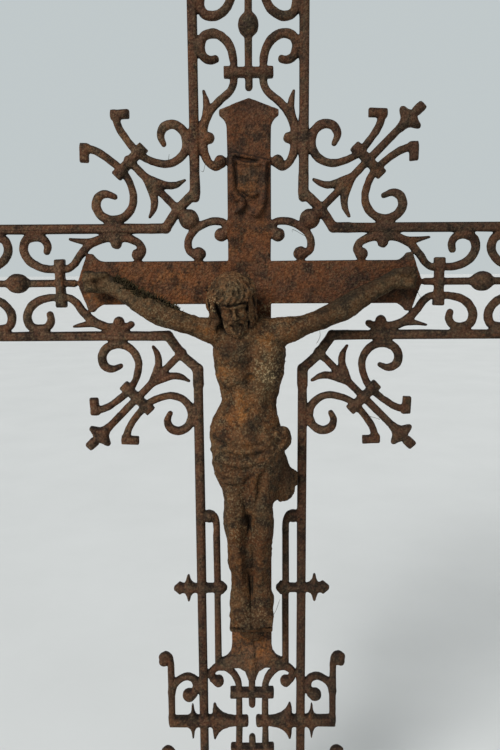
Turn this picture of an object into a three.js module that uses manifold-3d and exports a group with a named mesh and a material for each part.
// A cast-iron openwork grave cross with a cast figure fixed on its front.
// Millimetres, +Z up. The origin is on the ground, in the middle of the cross. The front faces -Y.
// Flat motifs are drawn in the plane of the cross as [x, z] pairs measured from the crossing.
import * as THREE from "three";
import { mergeVertices } from "three/addons/utils/BufferGeometryUtils.js";
import Module from "manifold-3d";

const wasm = await Module();
wasm.setup();

// Driving dimensions
const CROSSING = 850; // height of the crossing above the ground
const RAIL = 70; // from the axis of an arm to each of its two outer bars
const RAIL_WIDTH = 12.5;
const RAIL_DEPTH = 13;
const LIGHT_WIDTH = 9.5; // rods, scrolls and hooks
const LIGHT_DEPTH = 10.6;
const COLLAR_WIDTH = 13.5;
const COLLAR_DEPTH = 17;
const COLLAR_HALF = 31; // half the length of a collar
const LEG = 19; // from an axis to each of the two bars that a collar ties to its rod
const SHAFT = 28; // half the width of the inner cross
const PLATE_DEPTH = 9; // thickness of the inner cross
const ARM_COLLAR = 249; // from the crossing to the first collar of a side arm
const TOP_COLLAR = 262; // the same on the upper arm
const BALL = 56.5; // from a collar to the ball that the scrolls mirror about
const SPRAY_RISE = 1.5; // the corner sprays lie on 45 degree lines from this far above the crossing
const PIN_LEVEL = -633; // the arrow pins of the lower leg
const BRACKET_STEP = 149; // one bracket of the lower leg to the next
const FOOT_COLLAR = -588;
const SECOND_COLLAR = 2 * PIN_LEVEL - FOOT_COLLAR;
const TURNED_DEPTH = 8.5; // half the most depth of a finial or pin
const FIT = 0.3; // clearance between the two castings
const LAP = 4; // how far a bar runs into what it joins
const SOLE = { half: 95, height: 22, depth: 40 };

// Sections as [across, depth] pairs from -1 to 1, with the front at depth -1
const BAR_SECTION = [[-1, 1], [-0.62, -1], [0.62, -1], [1, 1]];
const RAIL_SECTION = [[-1, 1], [-0.75, -1], [0.75, -1], [1, 1]];
const round = (sides) =>
  Array.from({ length: sides }, (_, i) => {
    const angle = (2 * Math.PI * i) / sides;
    return [Math.cos(angle), Math.sin(angle)];
  });

const iron = new THREE.MeshStandardMaterial({ color: 0x3c2a24, roughness: 0.85, metalness: 0.35 });
const figureIron = new THREE.MeshStandardMaterial({ color: 0x54402a, roughness: 0.85, metalness: 0.3 });

// Solids

function solid(geometry) {
  const bare = geometry.clone();
  bare.deleteAttribute("normal");
  bare.deleteAttribute("uv");
  const merged = mergeVertices(bare, 1e-3);
  return new wasm.Manifold(
    new wasm.Mesh({
      numProp: 3,
      vertProperties: merged.attributes.position.array,
      triVerts: new Uint32Array(merged.index.array),
    }),
  );
}

function meshOf(made, name, material) {
  const { vertProperties, triVerts } = made.getMesh();
  const geometry = new THREE.BufferGeometry();
  geometry.setAttribute("position", new THREE.BufferAttribute(vertProperties, 3));
  geometry.setIndex(new THREE.BufferAttribute(triVerts, 1));
  geometry.computeVertexNormals();
  const mesh = new THREE.Mesh(geometry, material);
  mesh.name = name;
  mesh.position.z = CROSSING;
  return mesh;
}

const join = (geometries) => geometries.map(solid).reduce((all, next) => all.add(next));

// A closed bar or limb through stations of [x, y, z, half width, half depth].
// Each station is a ring of the section, square to the path.
function sweep(stations, section) {
  const path = new THREE.CatmullRomCurve3(stations.map(([x, y, z]) => new THREE.Vector3(x, y, z)));
  path.curveType = "catmullrom";
  const depthAxis = new THREE.Vector3(0, 1, 0);
  const last = stations.length - 1;
  const positions = [];
  stations.forEach(([x, y, z, halfWidth, halfDepth], i) => {
    const tangent = path.getTangent(i / last);
    const across = tangent.clone().cross(depthAxis).normalize();
    const deep = across.clone().cross(tangent);
    for (const [u, v] of section) {
      const corner = new THREE.Vector3(x, y, z);
      corner.addScaledVector(across, u * halfWidth);
      corner.addScaledVector(deep, v * halfDepth);
      positions.push(...corner.toArray());
    }
  });
  const n = section.length;
  const faces = [];
  for (let i = 0; i < last; i++)
    for (let k = 0; k < n; k++) {
      const a = i * n + k;
      const b = i * n + ((k + 1) % n);
      faces.push(a, a + n, b + n, a, b + n, b);
    }
  const end = last * n;
  for (let k = 1; k < n - 1; k++) faces.push(0, k, k + 1, end, end + k + 1, end + k);
  const geometry = new THREE.BufferGeometry();
  geometry.setAttribute("position", new THREE.Float32BufferAttribute(positions, 3));
  geometry.setIndex(faces);
  return geometry;
}

// The value at share t along a list of evenly spaced values, or a plain number.
function along(values, t) {
  if (!Array.isArray(values)) return values;
  const place = t * (values.length - 1);
  const before = Math.min(Math.floor(place), values.length - 2);
  return THREE.MathUtils.lerp(values[before], values[before + 1], place - before);
}

// A flat bar through [x, z] points.
function bar(points, { width = LIGHT_WIDTH, depth = LIGHT_DEPTH, section = BAR_SECTION, y = 0 } = {}) {
  const last = points.length - 1;
  const stations = points.map(([x, z], i) => [x, y, z, along(width, i / last) / 2, depth / 2]);
  return sweep(stations, section);
}

const rail = (points) => bar(points, { width: RAIL_WIDTH, depth: RAIL_DEPTH, section: RAIL_SECTION });
const collar = (points) => bar(points, { width: COLLAR_WIDTH, depth: COLLAR_DEPTH });

// A turned shape along a straight axis: place turns [distance, 0] into [x, z],
// and the profile holds [distance, half height] pairs.
function turned(place, profile, section) {
  const stations = profile.map(([s, half]) => {
    const [x, z] = place([s, 0]);
    return [x, 0, z, half, Math.min(half, TURNED_DEPTH)];
  });
  return sweep(stations, section);
}

const knob = ([x, z], radius) => new THREE.IcosahedronGeometry(radius, 0).translate(x, 0, z);
const ball = ([x, z], radius) => new THREE.OctahedronGeometry(radius, 1).translate(x, 0, z);

// Both sides of a motif: calls make with a placing function for w and one for -w.
const bothSides = (place, make) => [1, -1].flatMap((side) => make(([s, w]) => place([s, side * w]), side));

// The inner cross

const END = { flare: 15, shoulder: 38, block: 7, gable: 14 }; // the flared and gabled end of an arm
const ARM_END = 226.5;
const TOP_END = 231;
const SHAFT_END = -523;

// One gabled end on an outline; place turns [distance along the arm, offset] into [x, z].
function gabledEnd(shape, place, reach) {
  const shoulder = reach - END.gable;
  const step = shoulder - END.block;
  const to = (s, w) => shape.lineTo(...place([s, w]));
  const curve = (c, e) => shape.quadraticCurveTo(...place(c), ...place(e));
  to(step - END.flare, SHAFT);
  curve([step - END.flare / 3, SHAFT], [step, END.shoulder]);
  to(shoulder, END.shoulder);
  to(reach, 0);
  to(shoulder, -END.shoulder);
  to(step, -END.shoulder);
  curve([step - END.flare / 3, -SHAFT], [step - END.flare, -SHAFT]);
}

// Half of the shaft's foot, which flares to the scrolls beside it and narrows to the rod below
const FOOT_FLARE = { bend: [30, SHAFT_END - 8], tip: [45, SHAFT_END - 13], under: [38, SHAFT_END - 26] };
const FOOT_POINT = { bend: [12, SHAFT_END - 24], end: [0, SHAFT_END - 42] };

function innerCross() {
  const { bend, tip, under } = FOOT_FLARE;
  const mirrored = ([x, z]) => [-x, z];
  const shape = new THREE.Shape();
  shape.moveTo(-SHAFT, SHAFT);
  gabledEnd(shape, ([s, w]) => [-w, s], TOP_END);
  shape.lineTo(SHAFT, SHAFT);
  gabledEnd(shape, ([s, w]) => [s, w], ARM_END);
  shape.lineTo(SHAFT, -SHAFT);
  shape.lineTo(SHAFT, SHAFT_END + END.block);
  shape.quadraticCurveTo(...bend, ...tip);
  shape.lineTo(...under);
  shape.quadraticCurveTo(...FOOT_POINT.bend, ...FOOT_POINT.end);
  shape.quadraticCurveTo(...mirrored(FOOT_POINT.bend), ...mirrored(under));
  shape.lineTo(...mirrored(tip));
  shape.quadraticCurveTo(...mirrored(bend), -SHAFT, SHAFT_END + END.block);
  shape.lineTo(-SHAFT, -SHAFT);
  gabledEnd(shape, ([s, w]) => [-s, -w], ARM_END);
  const geometry = new THREE.ExtrudeGeometry(shape, {
    depth: PLATE_DEPTH,
    bevelEnabled: false,
    curveSegments: 2,
  });
  geometry.rotateX(Math.PI / 2);
  geometry.translate(0, PLATE_DEPTH / 2, 0);
  return geometry;
}

// The parchment on the upper shaft: a panel between two rolled sides, with loose curls below.
const PARCHMENT = { left: -24, right: 21, bottom: 114, topLeft: 160, topRight: 153 };
const PANEL_DEPTH = 5;
const EDGE = { width: 5, depth: 11 }; // the upper edge, which slopes down to the right
const ROLL = { width: 8, depth: 15 };
const CURLS = [
  { run: [[-20, 116], [-16, 101], [-10, 89]], width: [12, 10, 5] },
  { run: [[-2, 116], [-1, 103], [6, 88]], width: [14, 10, 6] },
  { run: [[17, 116], [16, 102], [9, 90]], width: [10, 8, 5] },
];

function parchment() {
  const { left, right, bottom, topLeft, topRight } = PARCHMENT;
  const y = -PLATE_DEPTH / 2;
  const middle = [[left, (bottom + topLeft) / 2], [right, (bottom + topRight) / 2]];
  const heights = [topLeft - bottom, topRight - bottom];
  const panel = bar(middle, { width: heights, depth: PANEL_DEPTH, y });
  const side = (x, top) => bar([[x, bottom + LAP], [x, top + 1]], { ...ROLL, section: round(6), y });
  return [
    panel,
    side(left, topLeft),
    side(right, topRight),
    bar([[left + 1, topLeft], [right + 1, topRight]], { ...EDGE, y }),
    ...CURLS.map(({ run, width }) => bar(run, { width, depth: EDGE.depth, y })),
  ];
}

// The outer bars

const CHAMFER = { high: [RAIL, 115.5], middle: [91.5, 95.5], wide: [109, RAIL] };
const RAIL_REACH = 150; // from the first collar of an arm to where its rails turn in
const END_BAR = 172; // from the first collar to the bar across the end of the arm
const END_HALF = 46; // half the length of that bar

const quadrants = [[1, 1], [-1, 1], [1, -1], [-1, -1]];

function chamfers() {
  const { high, middle, wide } = CHAMFER;
  const points = [[RAIL, high[1] + 3 * LAP], high, middle, wide, [wide[0] + 3 * LAP, RAIL]];
  return quadrants.map(([h, v]) => rail(points.map(([x, z]) => [h * x, v * z])));
}

// The side and upper arms, in [s, w]: s outward from the first collar, w across the arm

const armPlaces = {
  right: { place: ([s, w]) => [ARM_COLLAR + s, w], collarAt: ARM_COLLAR, stretch: 1 },
  left: { place: ([s, w]) => [-ARM_COLLAR - s, w], collarAt: ARM_COLLAR, stretch: 1 },
  top: { place: ([s, w]) => [w, TOP_COLLAR + s], collarAt: TOP_COLLAR, stretch: 1.055 },
};
const SCROLL = [[0, LEG], [20, 19], [38, 28], [46.5, 44], [39, 58], [22, 58.5], [15, 43]];
const SCROLL_WIDTH = [9.5, 11.5, 11, 10];
const BALL_RADIUS = 15.5;
const LOOP = [
  [0, LEG], [-11, 20], [-21, 28], [-37, 47], [-60, 57.5],
  [-82, 58.5], [-100, 54], [-109, 43], [-104, 35],
];
const LOOP_WIDTH = [9.5, 9.5, 10, 11, 11, 10.5, 10, 11, 16];
const STUB_LOOP = [...LOOP.slice(0, 6), [-94, 54]]; // a loop cast short, with a blunt end
const STUB_WIDTH = [9.5, 9.5, 10, 11, 11.5, 11, 10];
const BUD = { at: [-75, 52], radius: 7.5 };
const THORN = [[-54, 57], [-32, 54], [-15, 57]];
const THORN_WIDTH = [9, 8, 2];

const tie = (place, s) => collar([place([s, -COLLAR_HALF]), place([s, COLLAR_HALF])]);

// A pair of scrolls on each side of a ball, tied by a collar at each end.
function scrollsAndBall(place) {
  const mirrored = ([s, w]) => place([2 * BALL - s, w]);
  const scrolls = [place, mirrored].flatMap((half) =>
    bothSides(half, (side) => bar(SCROLL.map(side), { width: SCROLL_WIDTH })),
  );
  return [...scrolls, ball(place([BALL, 0]), BALL_RADIUS), tie(place, 0), tie(place, 2 * BALL)];
}

// The loop that leads from the collar to the inner cross, with its bud and thorn.
function loop(place, stretch, cut) {
  const at = ([s, w]) => place([s * stretch, w]);
  const run = cut ? STUB_LOOP : LOOP;
  return [
    bar(run.map(at), { width: cut ? STUB_WIDTH : LOOP_WIDTH }),
    knob(at(BUD.at), BUD.radius),
    bar(THORN.map(at), { width: THORN_WIDTH }),
  ];
}

const FINIAL = [[0, 5], [10, 8.5], [17, 18], [22, 15], [26, 5], [32, 7], [43, 4]];

// The bell and knop that end a rod; from is where it starts along the rod.
const finial = (place, from) =>
  turned(place, FINIAL.map(([s, half]) => [from + s, half]), round(6));

const ROD_TIP = -18; // the rod's end on the inner side of the first collar

function armEnd(place) {
  const corner = [[RAIL_REACH - 2 * LAP, RAIL], [RAIL_REACH, RAIL], [END_BAR, END_HALF]];
  const endRail = [...corner, ...corner.map(([s, w]) => [s, -w]).reverse()];
  return [
    bar([[ROD_TIP, 0], [END_BAR, 0]].map(place)),
    rail(endRail.map(place)),
    finial(place, END_BAR + LAP / 2),
  ];
}

function arm({ place, collarAt, stretch }, cutSide) {
  const start = CHAMFER.wide[0] + LAP - collarAt;
  return [
    ...scrollsAndBall(place),
    ...armEnd(place),
    ...bothSides(place, (side, sign) => [
      rail([[start, RAIL], [RAIL_REACH, RAIL]].map(side)),
      ...loop(side, stretch, sign === cutSide),
    ]),
  ];
}

// The corner sprays, in [t, n]: t along the diagonal from the axis, n across it

const SPRAY_FOOT = 128; // where the rod leaves the chamfer
const SPRAY_COLLAR = 216;
const SPRAY_FINIAL = 271;
const SPRAY_COLLAR_HALF = 26;
const SPRAY_ROD_WIDTH = 10;
const CURL = [
  [257, 42], [271, 27], [244, 18], [212, 16], [190, 24], [175, 43],
  [177.5, 64], [193, 75], [209, 71.5], [214, 59], [200, 46],
];
const CURL_WIDTH = [11.5, 11.5, 9.5, 9.5, 10.5, 11.5, 11.5, 10.5, 6];
const LEAF = [[186, 1], [171, 7], [157, 16.5], [150, 33]];
const LEAF_WIDTH = [9, 10, 8, 2.5];

const diagonal = ([h, v]) => ([t, n]) => [
  (h * (t - n)) / Math.SQRT2,
  v * (SPRAY_RISE + (t + n) / Math.SQRT2),
];

// The spray on the upper left has lost its finial, broken off beyond the collar.
function spray(quadrant) {
  const place = diagonal(quadrant);
  const broken = quadrant[0] < 0 && quadrant[1] > 0;
  const rodEnd = broken ? SPRAY_COLLAR + LAP : SPRAY_FINIAL + LAP;
  const pieces = [
    bar([[SPRAY_FOOT, 0], [rodEnd, 0]].map(place), { width: SPRAY_ROD_WIDTH }),
    collar([[SPRAY_COLLAR, -SPRAY_COLLAR_HALF], [SPRAY_COLLAR, SPRAY_COLLAR_HALF]].map(place)),
    ...bothSides(place, (side) => [
      bar(CURL.map(side), { width: CURL_WIDTH }),
      bar(LEAF.map(side), { width: LEAF_WIDTH }),
    ]),
  ];
  if (!broken) pieces.push(finial(place, SPRAY_FINIAL));
  return pieces;
}

// Between the inner cross and the upper chamfers: a C-scroll and a ball boss
const C_SCROLL = [[37, 61], [31, 70], [37, 78], [52, 78], [69, 69], [80, 54], [78, 41], [67, 38]];
const C_SCROLL_WIDTH = [16, 11, 10, 10, 10, 10, 11, 15];
const CORNER_BALL = { at: [78.5, 81.5], radius: 14 };

function upperCorner(h) {
  const at = ([x, z]) => [h * x, z];
  return [
    bar(C_SCROLL.map(at), { width: C_SCROLL_WIDTH }),
    ball(at(CORNER_BALL.at), CORNER_BALL.radius),
  ];
}

// The lower leg

const HOOK = [[48, -538], [48, -338], [51.5, -325], [61, -321.5]];
const HOOK_WIDTH = [LIGHT_WIDTH, LIGHT_WIDTH, 13, 18]; // a hook thickens to a lump at its end
const CROSS_PIN_LEVEL = -427;
const CROSS_PIN = [
  [34, 1], [41, 9.5], [46, 6], [79, 6.5], [87, 20], [90, 20], [95, 6], [101, 9.5], [109, 1.5],
];
const FOOT_SCROLL = [
  [LEG, SECOND_COLLAR - 2], [LEG, FOOT_COLLAR], [21, -567], [34, -550],
  [50, -547], [58, -557], [50, -571],
];
const FOOT_SCROLL_WIDTH = [9.5, 9.5, 9.5, 10, 11, 12, 17];
const ARROW_PIN = [
  [6, 8], [14, 8], [24, 6], [44, 13], [54, 27], [58, 24],
  [62, 8], [79, 8], [84, 26], [88, 26], [93, 8], [121, 7.5],
];
const PLAIN_PIN = ARROW_PIN.slice(-6);
const BRACKET = [[116.5, 0], [116.5, 92], [120, 101], [128, 99]]; // above its pin
const BRACKET_SCROLL = [[113, 38], [108.5, 61], [93, 70.5], [81, 62], [83.5, 44]];
const BRACKET_SCROLL_WIDTH = [9, 10, 11];
const BRACKET_BALL = { at: [91, 41.5], radius: 10.5 };
const LEG_FLARE = [
  [LEG, SECOND_COLLAR + LAP], [LEG, SECOND_COLLAR - 22], [28, -750], [46, -800], [58, -836],
];
const UPPER_ROD = { from: SHAFT_END - 22, to: FOOT_COLLAR - 24, width: [12, 9.5] };
const LOWER_ROD_TOP = SECOND_COLLAR + 23;

function bracket(h, level, scrolled) {
  const at = ([x, z]) => [h * x, level + z];
  const pieces = [bar(BRACKET.map(at), { width: HOOK_WIDTH })];
  if (scrolled) {
    pieces.push(bar(BRACKET_SCROLL.map(at), { width: BRACKET_SCROLL_WIDTH }));
    pieces.push(ball(at(BRACKET_BALL.at), BRACKET_BALL.radius));
  }
  return pieces;
}

function lowerSide(h) {
  const at = ([x, z]) => [h * x, z];
  const across = (level) => ([s]) => [h * s, level];
  const second = PIN_LEVEL - BRACKET_STEP;
  return [
    rail([[RAIL, -CHAMFER.high[1] - LAP], [RAIL, LAP - CROSSING]].map(at)),
    bar(HOOK.map(at), { width: HOOK_WIDTH }),
    turned(across(CROSS_PIN_LEVEL), CROSS_PIN, BAR_SECTION),
    bar(FOOT_SCROLL.map(at), { width: FOOT_SCROLL_WIDTH }),
    turned(across(PIN_LEVEL), ARROW_PIN, BAR_SECTION),
    turned(across(second), PLAIN_PIN, BAR_SECTION),
    ...bracket(h, PIN_LEVEL, true),
    ...bracket(h, second, false),
    bar(LEG_FLARE.map(at)),
  ];
}

function lowerLeg() {
  const sole = new THREE.BoxGeometry(2 * SOLE.half, SOLE.depth, SOLE.height);
  sole.translate(0, 0, SOLE.height / 2 - CROSSING);
  return [
    ...lowerSide(1),
    ...lowerSide(-1),
    bar([[0, UPPER_ROD.from], [0, UPPER_ROD.to]], { width: UPPER_ROD.width }),
    ...[FOOT_COLLAR, SECOND_COLLAR].map((z) => collar([[-COLLAR_HALF, z], [COLLAR_HALF, z]])),
    bar([[0, LOWER_ROD_TOP], [0, LAP - CROSSING]]),
    sole,
  ];
}

// The figure, in [x, y, z] about the crossing, with a flat back on the inner cross

const BACK = -PLATE_DEPTH / 2 - FIT;
const RIGHT_STILE = RAIL - RAIL_WIDTH / 2 - FIT;

const limb = (stations, sides = 8) => sweep(stations, round(sides));

// Stations are [x, y, z, half width, half depth], from the top down or from the body outward.
const TRUNK = [
  [-5, -27, -46, 14, 14], [-1, -24, -60, 34, 18], [-1, -24, -76, 48, 23], [-1, -23, -98, 46.5, 23],
  [-1, -20, -134, 40, 19], [-1.5, -19, -156, 36.5, 19], [-4, -20, -180, 40.5, 21],
  [-6.5, -22, -191, 46, 25], [-5.5, -23, -212, 46.5, 26], [-5, -24, -234, 46.5, 26],
  [-5, -24, -255, 42, 25],
];
const LEFT_LEG = [
  [-23, -25, -240, 21, 20], [-20, -29, -285, 16.5, 18.5], [-18, -34, -325, 15, 16],
  [-16, -26, -370, 13, 15], [-15, -22, -404, 12.5, 12.5], [-14.5, -24, -434, 14, 12],
  [-14, -33, -456, 14, 11], [-14, -41, -469, 12, 6],
];
const RIGHT_LEG = [
  [14, -25, -240, 22, 20], [12, -29, -285, 16.5, 18.5], [13, -34, -325, 15.5, 16],
  [12, -26, -370, 13.8, 15], [13, -22, -404, 13.5, 12.5], [15, -24, -434, 15.5, 12],
  [15, -33, -456, 15, 11], [15, -41, -469, 12.5, 6],
];
const LEFT_ARM = [
  [-34, -25, -64, 15, 17], [-60, -27, -58, 13.5, 15.5], [-100, -28, -45, 13.5, 15],
  [-118, -28, -37, 15, 15], [-152, -23, -18, 12.5, 12], [-187, -16, 0, 12, 9],
  [-203, -15, 2, 14, 10], [-216, -14, 3, 9, 6],
];
const RIGHT_ARM = [
  [30, -25, -62, 16, 17], [60, -27, -57, 14, 15.5], [92, -28, -46, 13, 15],
  [115, -28, -35, 14.5, 15], [158, -22, -11, 12, 11.5], [187, -16, 3, 12, 9],
  [203, -15, 5, 14, 10], [216, -14, 6, 9, 6],
];
const HEAD = { centre: [-21, -46, -25], radii: [21, 24, 33], tilt: 0.13, bow: 0.4 };
const HAIR = { radii: [28, 27, 27], back: 5, level: 10 };
const NOSE = [[0, -22, 3, 3, 3], [0, -26, -9, 4, 4]];
const BEARD = [[0, -15, -22, 13, 8], [0, -16, -33, 9, 7], [0, -14, -42, 4, 4]];
const CROWN = { radius: 27, thickness: 4, level: 17, lean: 0.08 };

// Carved cloth and hair as raised rolls over the body.
const FOLDS = [
  [[-49, -24, -196], [-24, -47, -206], [6, -49, -208], [28, -43, -202], [42, -30, -198]],
  [[-50, -25, -214], [-22, -49, -224], [6, -51, -226], [26, -44, -214], [41, -32, -207]],
  [[-49, -25, -232], [-20, -50, -242], [10, -51, -240], [30, -44, -226], [41, -33, -214]],
];
const TAIL = [
  [[37, -30, -206], [38, -27, -250], [36, -24, -287]],
  [[43, -28, -212], [46, -26, -255], [46, -22, -290]],
  [[45, -25, -218], [54, -19, -254], [57, -15, -280]],
];
const LOCKS = [
  [[-36, -48, -6], [-48, -50, -24], [-50, -46, -46], [-48, -40, -66]],
  [[-38, -40, -2], [-54, -38, -22], [-58, -35, -44], [-55, -34, -68]],
  [[-8, -52, -4], [3, -52, -22], [6, -46, -42], [6, -38, -58]],
  [[-4, -44, -2], [9, -40, -22], [13, -34, -42], [12, -30, -60]],
];
const FOLD_HALF = 5;
const TAIL_HALF = 7.5;
const LOCK_HALF = 7;
const KNOT = { centre: [43, -31, -203], radii: [11, 12, 17] };
const FLAP = [[2, -40, -238, 12, 10], [-2, -40, -272, 8, 8], [-3, -36, -302, 4, 5]];
const LEDGE = { centre: [-0.5, -22, -473], size: [58, 34, 7] }; // the feet rest on it
const CONSOLE = [[0, -15, -474, 24, 10], [3, -9, -502, 5, 4]]; // a small bracket below the ledge

const ROLL_END = 0.7; // share of a roll's width at its two ends
const ROLL_SIDES = 5;

// A lock or a fold: thinner at both ends.
const roll = (points, half) => {
  const last = points.length - 1;
  const stations = points.map(([x, y, z], i) => [x, y, z, i % last ? half : half * ROLL_END, half]);
  return limb(stations, ROLL_SIDES);
};

function head() {
  const bow = new THREE.Matrix4().makeRotationX(HEAD.bow);
  const turn = new THREE.Matrix4().makeRotationY(-HEAD.tilt).multiply(bow).setPosition(...HEAD.centre);
  const skull = new THREE.IcosahedronGeometry(1, 1).scale(...HEAD.radii);
  const hair = new THREE.OctahedronGeometry(1, 1).scale(...HAIR.radii);
  hair.translate(0, HAIR.back, HAIR.level);
  const crown = new THREE.TorusGeometry(CROWN.radius, CROWN.thickness, 3, 9);
  crown.rotateX(CROWN.lean).translate(0, HAIR.back, CROWN.level);
  return [skull, hair, crown, limb(NOSE, 6), limb(BEARD, 6)].map((piece) => piece.applyMatrix4(turn));
}

// The room in front of the inner cross that the outer bars leave free: the figure is cut to it.
function freeRoom() {
  const reach = 600; // beyond the figure on every side
  const height = 200; // of the opening beside the crossing, where the arms reach out
  const between = new THREE.BoxGeometry(reach, reach, 2 * reach);
  between.translate(RIGHT_STILE - reach / 2, BACK - reach / 2, 0);
  const beyond = new THREE.BoxGeometry(reach, reach, height);
  beyond.translate(RIGHT_STILE + reach / 4, BACK - reach / 2, 0);
  return solid(between).add(solid(beyond));
}

function figure() {
  const knot = new THREE.OctahedronGeometry(1, 1).scale(...KNOT.radii).translate(...KNOT.centre);
  const ledge = new THREE.BoxGeometry(...LEDGE.size).translate(...LEDGE.centre);
  const body = join([
    limb(TRUNK),
    limb(LEFT_LEG),
    limb(RIGHT_LEG),
    limb(LEFT_ARM, 6),
    limb(RIGHT_ARM, 6),
    ...FOLDS.map((points) => roll(points, FOLD_HALF)),
    ...TAIL.map((points) => roll(points, TAIL_HALF)),
    ...LOCKS.map((points) => roll(points, LOCK_HALF)),
    ...head(),
    knot,
    limb(FLAP, 6),
    ledge,
    limb(CONSOLE, 6),
  ]);
  return body.intersect(freeRoom());
}

const openwork = join([
  innerCross(),
  ...parchment(),
  ...chamfers(),
  ...arm(armPlaces.right, -1),
  ...arm(armPlaces.left, -1),
  ...arm(armPlaces.top, 0),
  ...quadrants.flatMap(spray),
  ...upperCorner(1),
  ...upperCorner(-1),
  ...lowerLeg(),
]);

const cross = new THREE.Group();
cross.add(meshOf(openwork, "openwork_cross", iron));
cross.add(meshOf(figure(), "corpus", figureIron));

export default cross;
